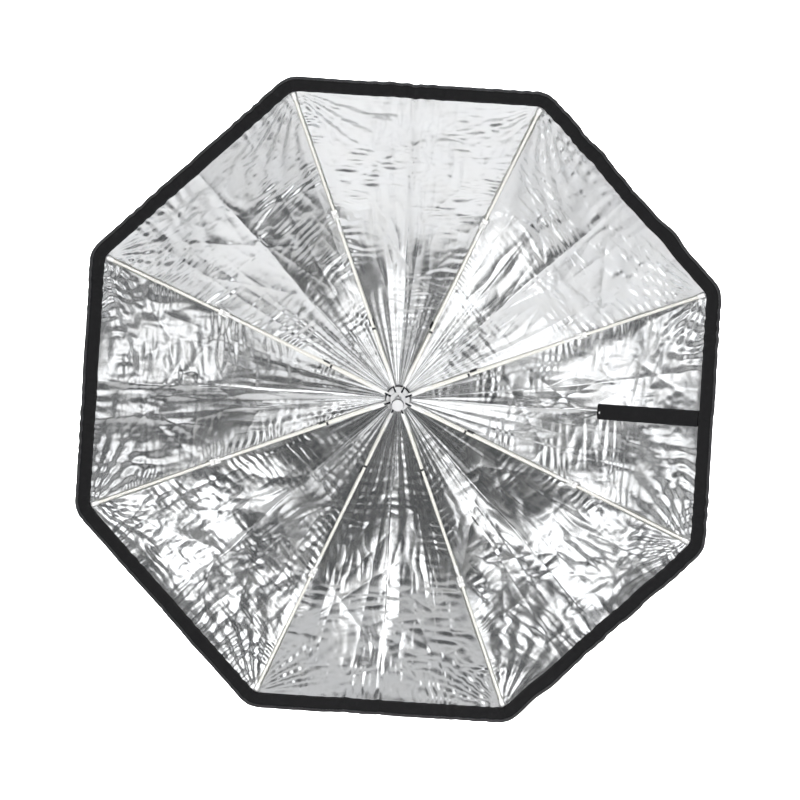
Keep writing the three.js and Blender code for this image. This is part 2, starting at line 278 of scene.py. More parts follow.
HEM_AT = BEND_LENGTH + (CORNER_RADIUS - rib_point(BEND_LENGTH, -CANOPY_OFFSET)[0]) / math.cos(TIP_ANGLE)
TAPE_AT = HEM_AT - TAPE_WIDTH
RIB_END = TAPE_AT - RIB_TO_TAPE
CANOPY_FROM = (CANOPY_INNER_RADIUS - PIVOT_RADIUS) / math.cos(HUB_ANGLE)


# ---- wrinkles of the canopy
def smooth_noise(rng, x, y, waves, shortest, longest):
    """A sum of a few long waves in random directions, about -1 to 1."""
    total = np.zeros(np.broadcast(x, y).shape)
    for _ in range(waves):
        length = rng.uniform(shortest, longest)
        way, phase = rng.uniform(0, 2 * np.pi, 2)
        total += np.sin(2 * np.pi * (x * math.cos(way) + y * math.sin(way)) / length + phase)
    return total / math.sqrt(waves / 2) / 1.6


def fold(distance, width):
    """A pressed fold: a sharp ridge that dies away over its width."""
    return np.exp(-np.abs(distance) / width)


def lean(dx, dy, way):
    """Distances along a line that leans by way, and off it."""
    return dx * math.sin(way) + dy * math.cos(way), dx * math.cos(way) - dy * math.sin(way)


def wrinkles(panel, along, across):
    """Height of the lining in front of the smooth panel. across runs from -1 to 1, rib to rib."""
    rng = np.random.default_rng(4100 + panel)
    radius = rib_point(along)[0]
    half_width = radius * SIN_HALF
    x = across * half_width
    to_rib = half_width - np.abs(x)
    to_tape = np.maximum(TAPE_AT - along, 0)
    off_rib = 1 - np.exp(-to_rib / 0.010)
    free = off_rib * (1 - np.exp(-to_tape / 0.016)) * np.clip((along - 0.01) / 0.055, 0, 1)
    free *= 0.6 + 0.4 * np.clip((along - 0.13) / 0.14, 0, 1)
    inner = np.clip((along - 0.01) / 0.06, 0, 1)

    # Broad swells, then crumpling that runs mostly along the panel or mostly across it.
    height = 0.0017 * free * smooth_noise(rng, x, along, 5, 0.10, 0.24)
    height -= 0.0012 * free * np.abs(smooth_noise(rng, x, along * 0.6, 5, 0.06, 0.13))
    mix = np.clip(0.5 + 0.8 * smooth_noise(rng, x, along, 4, 0.08, 0.2), 0, 1)
    radial = np.abs(smooth_noise(rng, x * 1.3, along * 0.38, 8, 0.018, 0.045))
    lateral = np.abs(smooth_noise(rng, x * 0.38, along * 1.3, 8, 0.014, 0.035))
    height -= free * (0.0007 * mix * radial + 0.0006 * (1 - mix) * lateral)
    outer = 0.3 + 0.7 * np.clip((along - 0.2) / 0.18, 0, 1)
    height -= 0.00018 * outer * free * np.abs(smooth_noise(rng, x, along, 9, 0.010, 0.024))

    # The pressed crease at the panel's middle, five folds from the hub and six stray ones.
    narrow = np.clip(half_width / 0.07, 0.12, 1)
    height += 0.0013 * narrow * inner * fold(x - 0.0015 * np.sin(along * 30 + panel), 0.004)
    for _ in range(5):
        line, drift = rng.uniform(-0.85, 0.85), rng.uniform(-0.5, 0.5)
        size = rng.uniform(0.0003, 0.0007) * rng.choice([-1, 1])
        height += size * narrow * inner * off_rib * fold(x - half_width * (line + drift * along), 0.0035)
    for _ in range(6):
        cx, cy = rng.uniform(-0.5, 0.5), rng.uniform(0.15, 0.36)
        way = rng.uniform(0.15, 1.0) * rng.choice([-1, 1])
        on, off = lean(x - cx * half_width, along - cy, way)
        height += rng.uniform(0.0004, 0.0009) * free * np.exp(-((on / 0.07) ** 2)) * fold(off, 0.004)

    # Rungs beside the ribs.
    patch = np.clip(0.5 + smooth_noise(rng, x, along, 4, 0.05, 0.12), 0, 1.3)
    bend = 1.4 * smooth_noise(rng, x, along, 5, 0.02, 0.06)
    rung = np.sin(2 * np.pi * along / rng.uniform(0.0085, 0.0115) + bend)
    near_rib = np.exp(-to_rib / 0.019) * (1 - np.exp(-to_rib / 0.003))
    height += 0.0005 * patch * near_rib * rung * inner * np.sqrt(narrow)

    # Puckers beside the tape, and rays out of its two corners.
    bend = 1.6 * smooth_noise(rng, x, along, 5, 0.03, 0.09)
    pucker = np.sin(2 * np.pi * x / rng.uniform(0.013, 0.019) + bend)
    patch = np.clip(0.6 + smooth_noise(rng, x, along, 3, 0.08, 0.2), 0, 1.4)
    height += 0.0007 * patch * np.exp(-to_tape / 0.03) * pucker * off_rib
    for side in (-1, 1):
        cx, cy = side * CORNER_RADIUS * SIN_HALF, TAPE_AT + 0.004
        away = np.hypot(x - cx, along - cy)
        turn = np.arctan2(x - cx, cy - along)
        ray = np.sin(rng.uniform(24, 32) * turn + rng.uniform(0, 6) + 0.6 * np.sin(away * 60))
        height += 0.0013 * np.exp(-away / 0.08) * (1 - np.exp(-away / 0.02)) * ray * free

    # Streaks that run out from the hub, and small dents all over.
    streak = np.sin(across * rng.uniform(14, 19) + rng.uniform(0, 6))
    streak = streak + np.sin(across * rng.uniform(24, 30))
    fade = np.exp(-np.maximum(along - 0.09, 0) / 0.07)
    height += 0.0055 * half_width * fade * streak * (1 - np.abs(across) ** 4)
    for _ in range(60):
        cx, cy = rng.uniform(-1, 1), rng.uniform(0.08, TAPE_AT)
        way = rng.choice([0, math.pi / 2, rng.uniform(0, math.pi)], p=[0.35, 0.3, 0.35])
        length, size = rng.uniform(0.01, 0.045), rng.uniform(-0.0005, 0.00065)
        on, off = lean(x - cx * (PIVOT_RADIUS + cy) * SIN_HALF, along - cy, way)
        height += size * free * np.exp(-((on / length) ** 2)) * fold(off, 0.0026)
    return height


def rim_wave(panel, across):
    """How far the hem stands out past its straight line: two sides of the rim are wavy."""
    rng = np.random.default_rng(900 + panel)
    size = {1: 0.0022, 7: 0.0018}.get(panel % RIBS, 0.0005)
    wave = sum(np.sin(across * k * math.pi + rng.uniform(0, 6)) / (1 + 0.15 * k) for k in (2, 3, 5, 7))
    return size * wave * (1 - np.abs(across) ** 4) / 1.6


def corner_rounding(along, distance):
    """How far the rim is cut back near a rib, which rounds the corners."""
    near = np.clip(1 - distance / 0.015, 0, 1)
    return 0.003 * near**2 * np.clip((along - TAPE_AT + 0.006) / TAPE_WIDTH, 0, 1)


def panel_of(rib, side):
    """The panel beside a rib: each panel has the number of the rib before it."""
    return (rib if side > 0 else rib - 1) % RIBS


def canopy_point(rib, side, along, share, offset, wrinkled=1.0):
    """A place on the canopy. share runs from 0 on the rib to 1 on the panel's crease."""
    along, share = np.broadcast_arrays(np.asarray(along, float), np.asarray(share, float))
    panel = panel_of(rib, side)
    across = -side * (1 - share)
    reach = np.clip((along - TAPE_AT + 0.03) / (TAPE_WIDTH + 0.03), 0, 1)
    on = along + reach * rim_wave(panel, across)
    radius = rib_point(on, -CANOPY_OFFSET)[0]
    on = on - corner_rounding(along, share * radius * SIN_HALF)
    angle = rib_angle(on)
    r, s = rib_point(on, -CANOPY_OFFSET)
    sag = CANOPY_SAG * np.sin(np.pi * np.clip(along / TAPE_AT, 0, 1)) * share**2
    r = r - sag * np.sin(angle)
    s = s + sag * np.cos(angle)
    lift = offset + wrinkled * wrinkles(panel, along, across)
    c, d = COS_HALF, SIN_HALF
    normal = np.stack([-c * np.sin(angle), -side * d * np.sin(angle), c * np.cos(angle)], -1)
    normal /= np.linalg.norm(normal, axis=-1)[..., None]
    flat = np.stack([r * (1 - share * d * d), side * r * share * d * c, s], -1)
    return place(flat + normal * lift[..., None], azimuth_of(rib))


def azimuth_of(rib):
    return HALF + (rib - 1) * STEP


def closed_sheet(shape, front, back, back_slot=1, flip=False):
    """Two grids of points joined round their border into a closed sheet."""
    rows, columns = front.shape[:2]
    count = rows * columns
    grid = np.arange(count).reshape(rows, columns)
    border = np.concatenate([grid[0], grid[1:, -1], grid[-1, -2::-1], grid[-2:0:-1, 0]]).tolist()
    edge = []
    for k, a in enumerate(border):
        c = border[(k + 1) % len(border)]
        quad = (a, a + count, c + count, c)
        edge.append(quad[::-1] if flip else quad)
    shape.add(front, grid_faces(rows, columns, flip))
    shape.add(back, grid_faces(rows, columns, not flip), back_slot)
    shape.faces += [tuple(k + shape.count - 2 * count for k in quad) for quad in edge]
    shape.slots += [back_slot] * len(edge)
    return shape


# ---- materials
def new_material(name):
    material = bpy.data.materials.new(name)
    material.use_nodes = True
    tree = material.node_tree
    return material, tree, tree.nodes["Principled BSDF"]


def add_node(tree, kind, **values):
    """A new shader node. values set its sockets by name, or else its own settings."""
    node = tree.nodes.new("ShaderNode" + kind)
    for key, value in values.items():
        if key in node.inputs:
            node.inputs[key].default_value = value
        else:
            setattr(node, key, value)
    return node


def coordinates(tree, scale=(1, 1, 1), kind="TexCoord", socket="Object", **values):
    """Metres in the object's own space, unless kind and socket name another."""
    node = add_node(tree, kind, **values)
    mapping = add_node(tree, "Mapping", Scale=scale)
    tree.links.new(node.outputs[socket], mapping.inputs["Vector"])
    return mapping.outputs["Vector"]


def cloth_coordinates(tree, scale=(1, 1, 1)):
    """Metres across and along the cloth."""
    return coordinates(tree, scale, "UVMap", "UV", uv_map="cloth")


def noise(tree, vector, scale, detail=4, roughness=0.6):
    node = add_node(tree, "TexNoise", Scale=scale, Detail=detail, Roughness=roughness)
    tree.links.new(vector, node.inputs["Vector"])
    return node.outputs["Fac"]


def ramp_range(tree, value, low, high, from_low=0.3, from_high=0.7):
    """Takes a value between from_low and from_high to one between low and high."""
    limits = {"From Min": from_low, "From Max": from_high, "To Min": low, "To Max": high}
    node = add_node(tree, "MapRange", **limits)
    tree.links.new(value, node.inputs["Value"])
    return node.outputs["Result"]


def mixed_colour(tree, factor, first, second):
    node = add_node(tree, "Mix", data_type="RGBA")
    node.inputs[6].default_value = (*first, 1)
    node.inputs[7].default_value = (*second, 1)
    tree.links.new(factor, node.inputs["Factor"])
    return node.outputs[2]


def bump(tree, shader, layers):
    """Bumps on top of each other: each layer is (height socket, strength, distance)."""
    normal = None
    for height, strength, distance in layers:
        node = add_node(tree, "Bump", Strength=strength, Distance=distance)
        tree.links.new(height, node.inputs["Height"])
        if normal:
            tree.links.new(normal, node.inputs["Normal"])
        normal = node.outputs["Normal"]
    tree.links.new(normal, shader.inputs["Normal"])


BANDS_PER_UNIT = 3.2


def weave(tree, vector, pitch):
    """Threads over and under, from two crossed waves."""
    scale = 1 / pitch / BANDS_PER_UNIT
    both = add_node(tree, "Math", operation="MULTIPLY")
    for direction, socket in zip("XY", both.inputs):
        node = add_node(tree, "TexWave", bands_direction=direction, Scale=scale)
        tree.links.new(vector, node.inputs["Vector"])
        tree.links.new(node.outputs["Fac"], socket)
    return both.outputs[0]


def ridges(tree, vector, scale):
    """Sharp creases, as in crumpled foil."""
    values = {"Scale": scale, "Detail": 4, "Roughness": 0.55, "Distortion": 1.2}
    node = add_node(tree, "TexNoise", noise_type="RIDGED_MULTIFRACTAL", **values)
    tree.links.new(vector, node.inputs["Vector"])
    return node.outputs["Fac"]


def set_surface(tree, shader, tint, gloss, layers, values):
    """Colour, roughness and bumps of a surface, and plain values for its other sockets."""
    tree.links.new(tint, shader.inputs["Base Color"])
    tree.links.new(gloss, shader.inputs["Roughness"])
    for name, value in values.items():
        shader.inputs[name].default_value = value
    bump(tree, shader, layers)


def silver_lining():
    material, tree, shader = new_material("silver_lining")
    vector = cloth_coordinates(tree)
    longer = cloth_coordinates(tree, (1, 0.5, 1))
    radial = cloth_coordinates(tree, (1, 0.28, 1))
    cloud = noise(tree, vector, 26, 5, 0.6)
    tint = mixed_colour(tree, cloud, (0.80, 0.82, 0.85), (0.93, 0.93, 0.92))
    layers = [
        (ridges(tree, longer, 20), 0.34, 0.0016),
        (ridges(tree, radial, 70), 0.3, 0.0005),
        (noise(tree, vector, 190, 5, 0.65), 0.22, 0.0004),
        (weave(tree, vector, 0.0006), 0.12, 0.00008),
        (noise(tree, vector, 900, 2, 0.5), 0.15, 0.0001),
    ]
    set_surface(tree, shader, tint, ramp_range(tree, cloud, 0.15, 0.27), layers, {"Metallic": 1.0})
    return material


def black_nylon():
    material, tree, shader = new_material("black_nylon")
    vector = coordinates(tree)
    cloud = noise(tree, vector, 40)
    tint = mixed_colour(tree, cloud, (0.004, 0.004, 0.0045), (0.01, 0.01, 0.011))
    crumple = noise(tree, vector, 120)
    layers = [(crumple, 0.2, 0.0004), (weave(tree, vector, 0.0007), 0.5, 0.00015)]
    values = {"Sheen Weight": 0.02, "Sheen Roughness": 0.5, "Specular IOR Level": 0.08}
    set_surface(tree, shader, tint, ramp_range(tree, cloud, 0.7, 0.86), layers, values)
    return material


def loop_tape():
    material, tree, shader = new_material("loop_tape")
    vector = coordinates(tree)
    cloud = noise(tree, vector, 90)
    loops = noise(tree, vector, 1500, 3, 0.7)
    tint = mixed_colour(tree, loops, (0.004, 0.004, 0.0045), (0.017, 0.017, 0.018))
    layers = [(cloud, 0.25, 0.0005), (loops, 0.7, 0.0004)]
    values = {"Sheen Weight": 0.04, "Sheen Roughness": 0.6, "Specular IOR Level": 0.1}
    set_surface(tree, shader, tint, ramp_range(tree, cloud, 0.8, 0.98), layers, values)
    return material


GRAIN_DEPTH = 0.00005


def plain_finish(name, low, high, roughness, metallic=0.0, grain=700, strength=0.25, stretch=(1, 1, 1)):
    """A moulded, drawn or threaded surface: a mottled colour, uneven gloss and a fine grain."""
    material, tree, shader = new_material(name)
    vector = coordinates(tree, stretch)
    cloud = noise(tree, vector, 70)
    tint = mixed_colour(tree, cloud, low, high)
    layers = [(noise(tree, vector, grain, 3, 0.6), strength, GRAIN_DEPTH)]
    set_surface(tree, shader, tint, ramp_range(tree, cloud, *roughness), layers, {"Metallic": metallic})
    return material


SILVER = silver_lining()
NYLON = black_nylon()
TAPE = loop_tape()
IVORY = plain_finish("ivory_glass_fibre", (0.74, 0.73, 0.67), (0.84, 0.83, 0.78), (0.32, 0.5), grain=1100)
WHITE = plain_finish("white_plastic", (0.78, 0.78, 0.77), (0.88, 0.88, 0.87), (0.3, 0.45))
BLACK = plain_finish(
    "black_plastic", (0.012, 0.012, 0.013), (0.024, 0.024, 0.026), (0.38, 0.55), strength=0.4
)
GREY = plain_finish("grey_plastic", (0.47, 0.47, 0.48), (0.57, 0.57, 0.575), (0.3, 0.45), strength=0.35)
STEEL = plain_finish(
    "drawn_steel", (0.60, 0.61, 0.63), (0.72, 0.73, 0.74), (0.16, 0.3), metallic=1.0, stretch=(1, 0.04, 1)
)
# Dark steel: blued on the catch spring; on the stretchers' inner eyes it is painted shade that makes the
# runner's slots show as dark dashes.
BLUED_AND_SLOT_SHADE = plain_finish("blued_steel", (0.02, 0.022, 0.028), (0.04, 0.042, 0.05), (0.3, 0.45), metallic=0.6)
PLATED = plain_finish("plated_rivet", (0.45, 0.45, 0.46), (0.62, 0.62, 0.63), (0.22, 0.34), metallic=1.0)
# The binding is black cloth, a little lighter than the tape: partly its own tone, partly a painted
# highlight along the rim.
BINDING_AND_HIGHLIGHT = plain_finish(
    "edge_binding", (0.012, 0.012, 0.013), (0.045, 0.045, 0.048), (0.35, 0.55), grain=900, strength=0.5
)
TWIST = {"grain": 2600, "strength": 0.6}
THREAD = plain_finish("black_thread", (0.012, 0.012, 0.012), (0.05, 0.05, 0.052), (0.7, 0.9), **TWIST)
PALE_THREAD = plain_finish("pale_thread", (0.55, 0.55, 0.56), (0.75, 0.75, 0.76), (0.7, 0.9), **TWIST)


# ---- riding on bodies
PLEAT = math.radians(26)
PLEAT_INSET = 0.007
CHORD = math.atan2(rib_point(RIB_END)[1], rib_point(RIB_END)[0] - PIVOT_RADIUS)
BEHIND_CHORD = np.array([math.sin(CHORD), 0, -math.cos(CHORD)])


def pleat_plane(side):
    """Normal of the plane that the cloth beside a rib gathers on, and a place on it."""
    normal = math.cos(PLEAT) * np.array([0, side, 0]) - math.sin(PLEAT) * BEHIND_CHORD
    r, s = rib_point(0.0, -CANOPY_OFFSET)
    return normal, np.array([r, 0, s]) - PLEAT_INSET * BEHIND_CHORD


def gather(piece):
    """Gives a piece its own copy of its mesh."""
    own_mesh(piece)


def dress(piece, body, node=None):
    """Hangs a piece on its body and hides the CAD node that it stands for."""
    if node:
        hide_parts(node)
    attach(piece, body)


def fold_with_rib(piece, rib, node=None):
    """Hangs cloth beside a rib on the rib's arm, gives it its own copy of its mesh and hides the CAD node
    it stands for.
    """
    dress(piece, f"rib_arm_{rib}", node)
    gather(piece)


# ---- the canopy
ROWS, COLUMNS = 250, 76
LETTER = {1: "a", -1: "b"}
# Panels lie this far apart in the cloth's own space, so that no two crumple alike.
CLOTH_SHIFT = 0.7
TAPE_ROWS, RIM_COLUMNS = 9, 90
TAPE_LIFT = 0.0002
TAPE_OVERHANG = 0.0006
BINDING_SIDES = 10
BINDING_REACH, BINDING_HEIGHT = 0.0019, 0.0016
BINDING_INSET, BINDING_LIFT = 0.0010, 0.0003


def cloth_grid(from_along, to_along, rows, columns):
    along = np.linspace(from_along, to_along, rows)[:, None]
    share = np.linspace(0, 1, columns)[None, :]
    return np.broadcast_arrays(along, share)


def canopy_half(rib, side):
    """Half a panel: silver inside and black outside."""
    along, share = cloth_grid(CANOPY_FROM, HEM_AT, ROWS, COLUMNS)
    front = canopy_point(rib, side, along, share, 0.0)
    back = canopy_point(rib, side, along, share, -CLOTH_THICKNESS)
    shape = closed_sheet(Shape(), front, back, flip=side < 0)
    across = side * (1 - share) * rib_point(along)[0] * SIN_HALF
    cloth = np.stack([across + CLOTH_SHIFT * panel_of(rib, side), along], -1).reshape(-1, 2)
    piece = shape.make(f"canopy_{rib}_{LETTER[side]}", [SILVER, NYLON], 60, np.vstack([cloth, cloth]))
    fold_with_rib(piece, rib, f"canopy_gore_{rib}")
    width, length = CORNER_RADIUS * SIN_HALF, HEM_AT - CANOPY_FROM
    steps = np.linspace(CANOPY_FROM, HEM_AT, 100)
    area = float(np.mean(rib_point(steps)[0]) * SIN_HALF * length)


def hem_binding(shape, rib, side):
    """A flattened tube of binding round the cloth's edge."""
    turn = np.linspace(0, 2 * np.pi, BINDING_SIDES + 1)[:-1][:, None]
    share = np.linspace(0, 1, RIM_COLUMNS)[None, :]
    along = HEM_AT - BINDING_INSET + BINDING_REACH * np.cos(turn)
    lift = BINDING_LIFT + BINDING_HEIGHT * np.sin(turn)
    hem = canopy_point(rib, side, along, share, lift)
    last = (BINDING_SIDES - 1) * RIM_COLUMNS
    faces = grid_faces(BINDING_SIDES, RIM_COLUMNS)
    faces += [(j, last + j, last + j + 1, j + 1) for j in range(RIM_COLUMNS - 1)]
    starts = [i * RIM_COLUMNS for i in range(BINDING_SIDES)]
    faces += [tuple(starts), tuple(k + RIM_COLUMNS - 1 for k in reversed(starts))]
    shape.add(hem, faces if side > 0 else [face[::-1] for face in faces], 1)


def rim_band(rib, side):
    """Half a side of the loop tape, with soft rounded edges, and the binding beyond it."""
    profile = np.linspace(0, 1, TAPE_ROWS)[:, None]
    along, share = cloth_grid(TAPE_AT, HEM_AT + TAPE_OVERHANG, TAPE_ROWS, RIM_COLUMNS)
    swell = TAPE_THICKNESS * (1 - np.abs(2 * profile - 1) ** 6 * 0.7)
    rng = np.random.default_rng(60 + 2 * rib + (side > 0))
    ripple = 0.00025 * smooth_noise(rng, share * 0.15, along, 6, 0.008, 0.03)
    front = canopy_point(rib, side, along, share, TAPE_LIFT + swell + ripple)
    back = canopy_point(rib, side, along, share, TAPE_LIFT - 0.00005)
    shape = closed_sheet(Shape(), front, back, 0, flip=side < 0)
    hem_binding(shape, rib, side)
    # The binding's lighter black is partly a painted highlight along the rim.
    piece = shape.make(f"rim_band_{rib}_{LETTER[side]}", [TAPE, BINDING_AND_HIGHLIGHT], sharp=50)
    fold_with_rib(piece, rib, f"rim_tape_{rib}")


STITCH_LENGTH, STITCH_GAP, STITCH_RADIUS = 0.0028, 0.0012, 0.00022


def stitch(shape, start, end, out, radius, slot=0):
    """One stitch: a short arched thread."""
    rows = sides = 5
    across = np.cross(end - start, out)
    across /= np.linalg.norm(across)
    up = out / np.linalg.norm(out)
    arch = np.sin(np.linspace(0, math.pi, rows))[:, None, None]
    turn = (2 * math.pi * np.arange(sides) / sides)[:, None]
    middle = np.linspace(start, end, rows)[:, None] + up * radius * (0.2 + 0.8 * arch)
    points = middle + radius * (0.55 + 0.45 * arch) * (np.cos(turn) * across + np.sin(turn) * up)
    faces = grid_faces(rows, sides, wrap=True, flip=True)
    last = (rows - 1) * sides
    faces += [tuple(range(sides)), tuple(last + k for k in reversed(range(sides)))]
    shape.add(points, faces, slot)


def stitch_row(shape, places, out, slot=0):
    """Stitches along a line of places."""
    steps = np.linalg.norm(np.diff(places, axis=0), axis=1)
    at = np.concatenate([[0], np.cumsum(steps)])
    pitch = STITCH_LENGTH + STITCH_GAP
    for k in range(int((at[-1] - STITCH_GAP) / pitch)):
        start = STITCH_GAP / 2 + k * pitch
        ends = np.stack([np.interp([start, start + STITCH_LENGTH], at, c) for c in places.T], -1)
        stitch(shape, ends[0], ends[1], out, STITCH_RADIUS, slot)


def outward(rib, side, along, share):
    """The direction in front of the lining."""
    low, high = (canopy_point(rib, side, along, share, lift, 0.0).reshape(3) for lift in (0.0, 0.01))
    return (high - low) / np.linalg.norm(high - low)


def rim_stitches(rib, side):
    """Two rows of stitching on the tape."""
    shape = Shape()
    share = np.linspace(0.02, 0.99, 60)
    out = outward(rib, side, HEM_AT - 0.01, 0.5)
    lift = TAPE_LIFT + TAPE_THICKNESS * 0.93
    for inset in (0.0022, TAPE_WIDTH - 0.0024):
        stitch_row(shape, canopy_point(rib, side, HEM_AT - inset, share, lift), out)
    piece = shape.make(f"stitches_{rib}_{LETTER[side]}", [THREAD], sharp=80)
    fold_with_rib(piece, rib)


SEAM_GAP, SEAM_THICKNESS, SEAM_BEVEL = 0.0003, 0.0006, 0.0003
SEAM_FROM, SEAM_TO = CANOPY_FROM + 0.006, HEM_AT - 0.0004
CLEAR_OF_PLEAT = 0.0020


def seam_half_width(along):
    """The rib's seam strip reaches as far as the gathered cloth leaves room for it."""
    normal, anchor = pleat_plane(1)
    on_rib = in_plane(*rib_point(along, -CANOPY_OFFSET - CLOTH_THICKNESS - SEAM_GAP)) - anchor
    rise = SIN_HALF * np.sin(rib_angle(along))
    return (-CLEAR_OF_PLEAT - on_rib @ normal) / (math.cos(PLEAT) - math.sin(PLEAT) * rise)


def seam_strip(rib):
    """The doubled seam outside along a rib, stitched near both edges. It keeps to the rib."""
    along = np.linspace(SEAM_FROM, SEAM_TO, 200)
    half_width = seam_half_width(along)

    def layer(lift, inset):
        columns = []
        for x in np.linspace(-1, 1, 33):
            share = abs(x) * (half_width - inset) / (rib_point(along)[0] * SIN_HALF)
            sides = [side for side in (1, -1) if x * side >= 0]
            spots = [canopy_point(rib, side, along, share, lift) for side in sides]
            columns.append(sum(spots) / len(spots))
        return np.stack(columns, 1)

    front = layer(-CLOTH_THICKNESS - SEAM_GAP, 0.0)
    back = layer(-CLOTH_THICKNESS - SEAM_GAP - SEAM_THICKNESS, SEAM_BEVEL)
    shape = closed_sheet(Shape(), front, back, 0)
    for column, side in ((3, -1), (-4, 1)):
        stitch_row(shape, back[12:-8, column], -outward(rib, side, CLIP_AT, 0.05), slot=1)
    dress(shape.make(f"seam_strip_{rib}", [NYLON, THREAD], sharp=60), f"rib_arm_{rib}")


for rib_number in range(1, RIBS + 1):
    for hand in (1, -1):
        canopy_half(rib_number, hand)
        rim_band(rib_number, hand)
        rim_stitches(rib_number, hand)
    seam_strip(rib_number)


# ---- ribs, tips, clips and stretchers
EYE_RADIUS, EYE_CHAMFER, EYE_STEPS = 0.0024, 0.0003, 30
BLADE_THICKNESS, BLADE_HEIGHT = 0.002, 0.0036
SLEEVE_FROM, SLEEVE_TO = 0.0155, 0.034
SLEEVE_RADII = (0.0019, *[0.00225] * 2, 0.00215, *[0.00225] * 4, 0.00215, 0.00225, 0.0022, 0.0018)
SOCKET_RADII = (0.0019, 0.0022, 0.0022, 0.0021, 0.0022, 0.0022, 0.0022, 0.0018)
CAP_FROM, CAP_NOSE = RIB_END - 0.009, 0.0017


def eye_plate(shape, centre, towards, reach, azimuth, hole, slot):
    """A flattened end: a round eye with a hole, and a bar that runs towards the rod."""
    way = np.array(towards, float) - centre
    way /= np.linalg.norm(way)
    side = np.array([-way[1], way[0]])
    mouth = math.asin(BLADE_HEIGHT / 2 / EYE_RADIUS)
    angles = np.linspace(mouth, 2 * math.pi - mouth, EYE_STEPS + 1)
    circle = np.stack([np.cos(angles), np.sin(angles)], -1)
    outline = np.vstack([EYE_RADIUS * circle, [[reach, -BLADE_HEIGHT / 2], [reach, BLADE_HEIGHT / 2]]])
    hole_ring = hole * np.vstack([circle, [[1, -0.25], [1, 0.25]]])
    half, small = BLADE_THICKNESS / 2, 1 - EYE_CHAMFER / EYE_RADIUS
    layers = [(hole_ring, half, 1), (outline, half, small), (outline, half - EYE_CHAMFER, 1)]
    rows = []
    for points, t, scale in [(ring, -t, scale) for ring, t, scale in layers] + layers[::-1]:
        lengthways = points[:, :1] * np.where(points[:, :1] > EYE_RADIUS, 1, scale)
        flat = centre + lengthways * way + points[:, 1:] * scale * side
        rows.append(np.stack([flat[:, 0], np.full(len(flat), t), flat[:, 1]], -1))
    n = len(outline)
    faces = grid_faces(6, n, wrap=True)
    faces += [(5 * n + j, 5 * n + (j + 1) % n, (j + 1) % n, j) for j in range(n)]
    shape.add(place(np.vstack(rows), azimuth), faces, slot)


def rib_rod(rib):
    """The glass-fibre rod, its eye at the hub and the white sleeve that joins them."""
    azimuth = azimuth_of(rib)
    shape = Shape()
    along = np.concatenate([[0.0115, 0.013], np.linspace(0.016, RIB_END - 0.0016, 90)])
    radius = np.full(len(along), ROD_RADIUS)
    radius[:2] = (0.001, 0.0015)
    sweep_tube(shape, in_plane(*rib_point(along)), radius, azimuth)
    eye_plate(shape, np.array([PIVOT_RADIUS, 0.0]), rib_point(0.02), 0.0185, azimuth, 0.001, 1)
    sleeve = np.linspace(SLEEVE_FROM, SLEEVE_TO, len(SLEEVE_RADII))
    sweep_tube(shape, in_plane(*rib_point(sleeve)), SLEEVE_RADII, azimuth, 1)
    dress(shape.make(f"rib_rod_{rib}", [IVORY, WHITE]), f"rib_arm_{rib}", f"rib_{rib}")


def rib_cap(rib):
    """The white cap at the rib's end, with a rounded nose."""
    nose = np.sin(np.linspace(0, math.pi / 2, 7))
    along = np.concatenate([[CAP_FROM, CAP_FROM + 0.0002], RIB_END - CAP_NOSE + CAP_NOSE * nose])
    radius = np.concatenate([[0.0023, 0.0026], 0.0027 * np.cos(np.arcsin(nose) * 0.97)])
    shape = sweep_tube(Shape(), in_plane(*rib_point(along)), radius, azimuth_of(rib))
    piece = shape.make(f"rib_cap_{rib}", [WHITE])
    dress(piece, f"rib_arm_{rib}", f"rib_tip_{rib}")


CHEEK = [(x, z + 0.0005) for x, z in rounded_outline(0.014, 0.0046, 0.0012)]
ROOF = [(x, z + 0.00246) for x, z in rounded_outline(0.0136, 0.0008, 0.0003)]
EAR_RADIUS = 0.0032
EAR = arc(0, STRETCHER_OFFSET, EAR_RADIUS, 0, 180, 14)
EAR += [(-0.0036, 0.0032), (-0.005, 0.0024), (0.005, 0.0024), (0.0036, 0.0032)]
# Each plate of the clip: its outline, thickness and place across the rib.
SADDLE_PLATES = (
    (CHEEK, 0.0015, -0.0028),
    (CHEEK, 0.0015, 0.0028),
    (ROOF, 0.0066, 0.0),
    (EAR, 0.0021, -0.0025),
    (EAR, 0.0021, 0.0025),
)
# The rivet's head as (radius, distance across the rib), in millimetres.
RIVET = ((1.9, 3.62), (1.9, 3.85), (1.6, 4.2), (1.0, 4.4), (0.75, 4.2), (0.0, 4.15))
RIVET_SIDES = 20
PIN_RADIUS, PIN_END = 0.00075, 0.0037


def rib_saddle(rib):
    """The clip: a channel over the rod, two ears, and the rivet that carries the stretcher."""
    azimuth = azimuth_of(rib)
    angle = float(rib_angle(CLIP_AT))
    clip_r, clip_s = (float(v) for v in rib_point(CLIP_AT))
    c, d = math.cos(angle), math.sin(angle)

    def move(x, z):
        return (clip_r + x * c - z * d, clip_s + x * d + z * c)

    shape = Shape()
    for outline, thickness, aside in SADDLE_PLATES:
        plate(shape, outline, thickness, aside, move, azimuth)
    turn = 2 * math.pi * np.arange(RIVET_SIDES) / RIVET_SIDES
    radius, t = (np.array(values)[:, None] / 1000 for values in zip(*RIVET))
    r, s = move(radius * np.cos(turn), STRETCHER_OFFSET + radius * np.sin(turn))
    for side in (-1, 1):
        head = place(np.stack([r, side * t + 0 * r, s], -1), azimuth)
        shape.add(head, grid_faces(len(RIVET), RIVET_SIDES, wrap=True, flip=side > 0), 1)
    r, s = move(0, STRETCHER_OFFSET)
    sweep_tube(shape, [[r, -PIN_END, s], [r, PIN_END, s]], PIN_RADIUS, azimuth, 1, 16)
    piece = shape.make(f"rib_saddle_{rib}", [WHITE, PLATED])
    dress(piece, f"rib_arm_{rib}", f"rib_clip_{rib}")


LASHING_AT, LASHING_PITCH, LASHING_THREAD = 0.647, 0.00065, 0.00036


